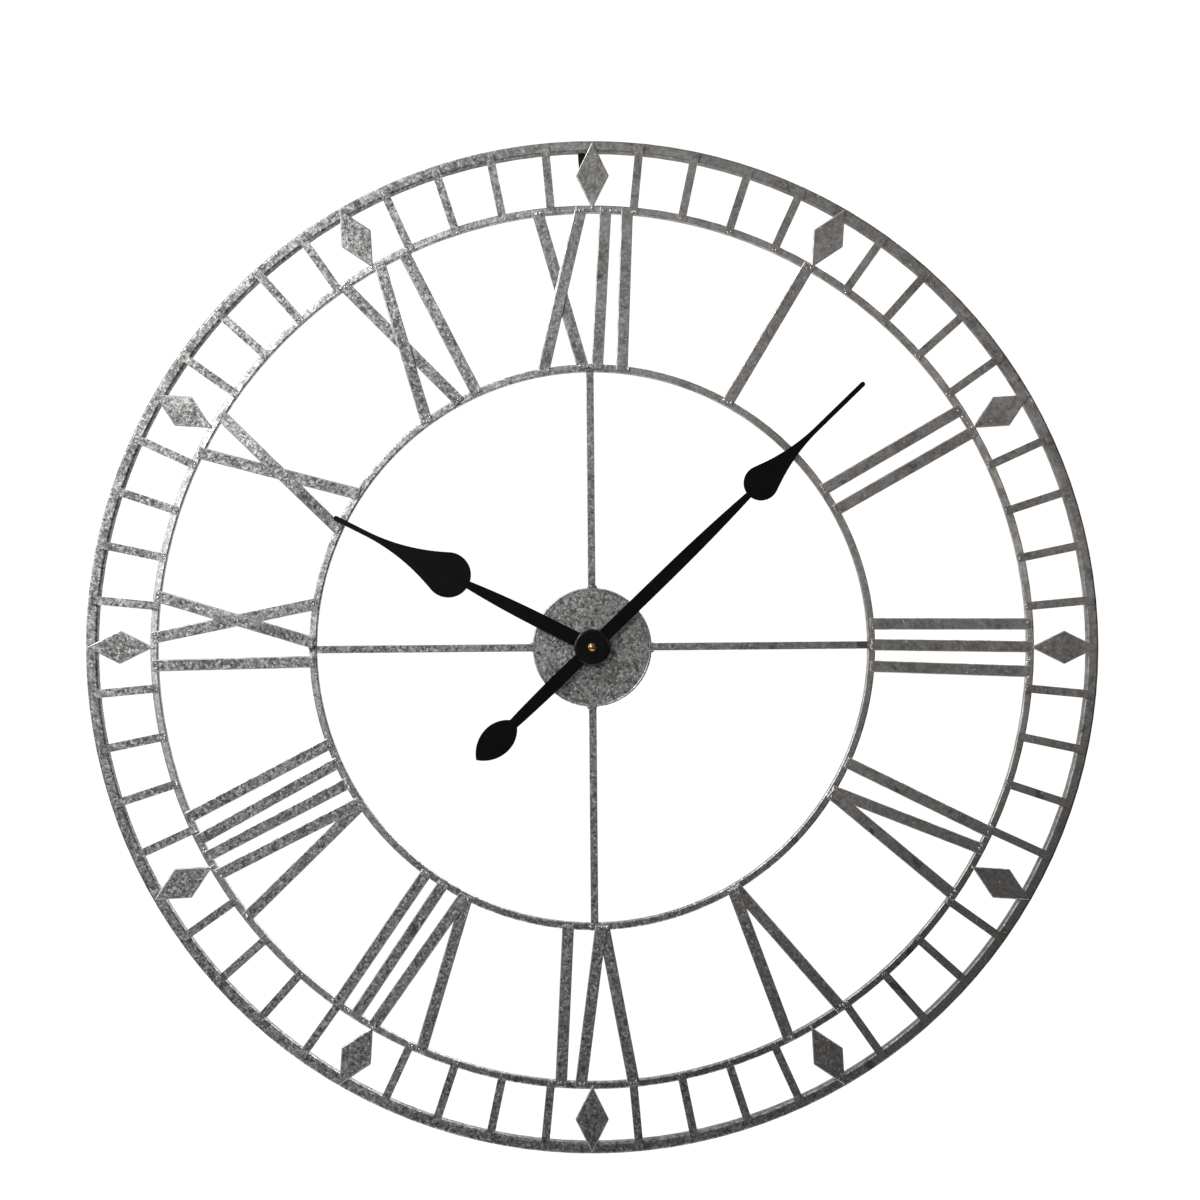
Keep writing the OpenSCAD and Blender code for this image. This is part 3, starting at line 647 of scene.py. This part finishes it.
def add_bead(bm, rng, place, size, flat=0.6, spread=(1.0, 1.0)):
    """A drop of weld metal: a flattened lump with an uneven skin. size is its radius, and spread
    stretches it outward from the clock's centre and round it."""
    outward = Vector((place.x, 0.0, place.z)).normalized()
    round_it = Vector((outward.z, 0.0, -outward.x))
    lump = bmesh.ops.create_icosphere(bm, subdivisions=2, radius=1.0)["verts"]
    phase = Vector((rng.uniform(0, 9), rng.uniform(0, 9), rng.uniform(0, 9)))
    for vert in lump:
        here = vert.co.copy()
        layers = (depth * noise.noise(here * fine + phase) for depth, fine in BEAD_SKIN)
        uneven = sum(layers, 1.0)
        here *= size * uneven
        vert.co = (
            place
            + outward * here.x * spread[0]
            + Vector((0.0, here.y * flat, 0.0))
            + round_it * here.z * spread[1]
        )


def weld_piece(name, bm, material):
    mesh = bpy.data.meshes.new(name)
    for face in bm.faces:
        face.smooth = True
    bm.to_mesh(mesh)
    bm.free()
    mesh.materials.append(material)
    piece = link(name, mesh)
    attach(piece, "frame")


def bar_ends(name, nearest, farthest):
    """The ends of a CAD node's bars that lie between two radii, each as the list of its corners."""
    groups = []
    for vert in nodes[name].data.vertices:
        if not nearest < math.hypot(vert.co.x, vert.co.z) < farthest:
            continue
        corner = vert.co.copy()
        flat = Vector((corner.x, 0.0, corner.z))
        for group in groups:
            if (Vector((group[0].x, 0.0, group[0].z)) - flat).length < STROKE_END:
                group.append(corner)
                break
        else:
            groups.append([corner])
    return groups


def weld_bar_end(bm, rng, corners, radius, count, size):
    """A row of beads across the end of a bar, where it is welded to the ring of that radius."""
    front = min(corner.y for corner in corners)
    angles = [math.atan2(corner.x, corner.z) for corner in corners]
    if max(angles) - min(angles) > math.pi:
        angles = [angle % (2 * math.pi) for angle in angles]
    middle = 0.5 * (min(angles) + max(angles))
    half = 0.5 * (max(angles) - min(angles)) - size / radius
    for i in range(count):
        if rng.random() < BEADS_MISSING:
            continue
        share = (2 * i + 1) / count - 1.0
        angle = middle + half * share + rng.uniform(-BEAD_ROUND, BEAD_ROUND) * MM / radius
        reach = radius + rng.uniform(-BEAD_OUT, BEAD_OUT) * MM
        place = Vector((reach * math.sin(angle), front, reach * math.cos(angle)))
        spread = (rng.uniform(0.8, 1.7), rng.uniform(0.7, 1.1))
        add_bead(bm, rng, place, size * rng.uniform(0.75, 1.2), spread=spread)


def weld_numerals(rng, material):
    bm = bmesh.new()
    for name in sorted(nodes):
        if name.startswith("numeral_"):
            for corners in bar_ends(name, *NUMERAL_OUTER_END):
                weld_bar_end(bm, rng, corners, MIDDLE_WELD_R, count=3, size=0.95 * MM)
            for corners in bar_ends(name, *NUMERAL_INNER_END):
                weld_bar_end(bm, rng, corners, INNER_WELD_R, count=3, size=0.80 * MM)
    weld_piece("numeral_welds", bm, material)


def weld_bars(rng, material):
    """Beads at the inner ends of the minute bars and at the lozenges' inner tips."""
    bm = bmesh.new()
    for corners in bar_ends("minute_bars", *MINUTE_BAR_END):
        weld_bar_end(bm, rng, corners, MIDDLE_WELD_R, count=2, size=0.80 * MM)
    for corners in bar_ends("hour_lozenges", *LOZENGE_TIP):
        weld_bar_end(bm, rng, corners, MIDDLE_WELD_R + TIP_FARTHER, count=1, size=1.0 * MM)
    weld_piece("bar_welds", bm, material)


def weld_spokes(rng, material):
    """A lump where each spoke meets the inner ring, and a fillet each side where it meets the
    drum. They stand on an upright cross, and the CAD's spokes lean from it by half a degree."""
    bm = bmesh.new()
    spoke_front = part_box("spokes")[0].y
    drum_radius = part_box("hub_drum")[1].x
    for turn in range(4):
        angle = turn * math.pi / 2
        outward = Vector((math.sin(angle), 0.0, math.cos(angle)))
        aside = Vector((outward.z, 0.0, -outward.x))
        lump = outward * INNER_WELD_R + Vector((0.0, spoke_front - LUMP_PROUD, 0.0))
        add_bead(bm, rng, lump, SPOKE_LUMP, flat=0.55, spread=(0.85, 1.15))
        for sign in (-1, 1):
            place = outward * (drum_radius + FILLET_CLEAR) + aside * sign * FILLET_ASIDE
            place.y = spoke_front + FILLET_SUNK
            add_bead(bm, rng, place, DRUM_FILLET, flat=0.9, spread=(1.1, 0.7))
    weld_piece("spoke_welds", bm, material)


def make_welds():
    rng = random.Random(WELD_SEED)
    bright = weld_metal("weld_bright", dark=0.62, light=0.95, roughness=(0.30, 0.16))
    scorched = weld_metal("weld_scorched", dark=0.16, light=0.42, roughness=(0.45, 0.30))
    weld_numerals(rng, bright)
    weld_bars(rng, bright)
    weld_spokes(rng, scorched)


# ---- the whole scene -----------------------------------------------------------------------

make_camera()
make_floor()
make_world()
make_lights()
dress_nodes(slot_materials())
soften_all()
make_welds()

bpy.context.scene.view_settings.view_transform = "Standard"
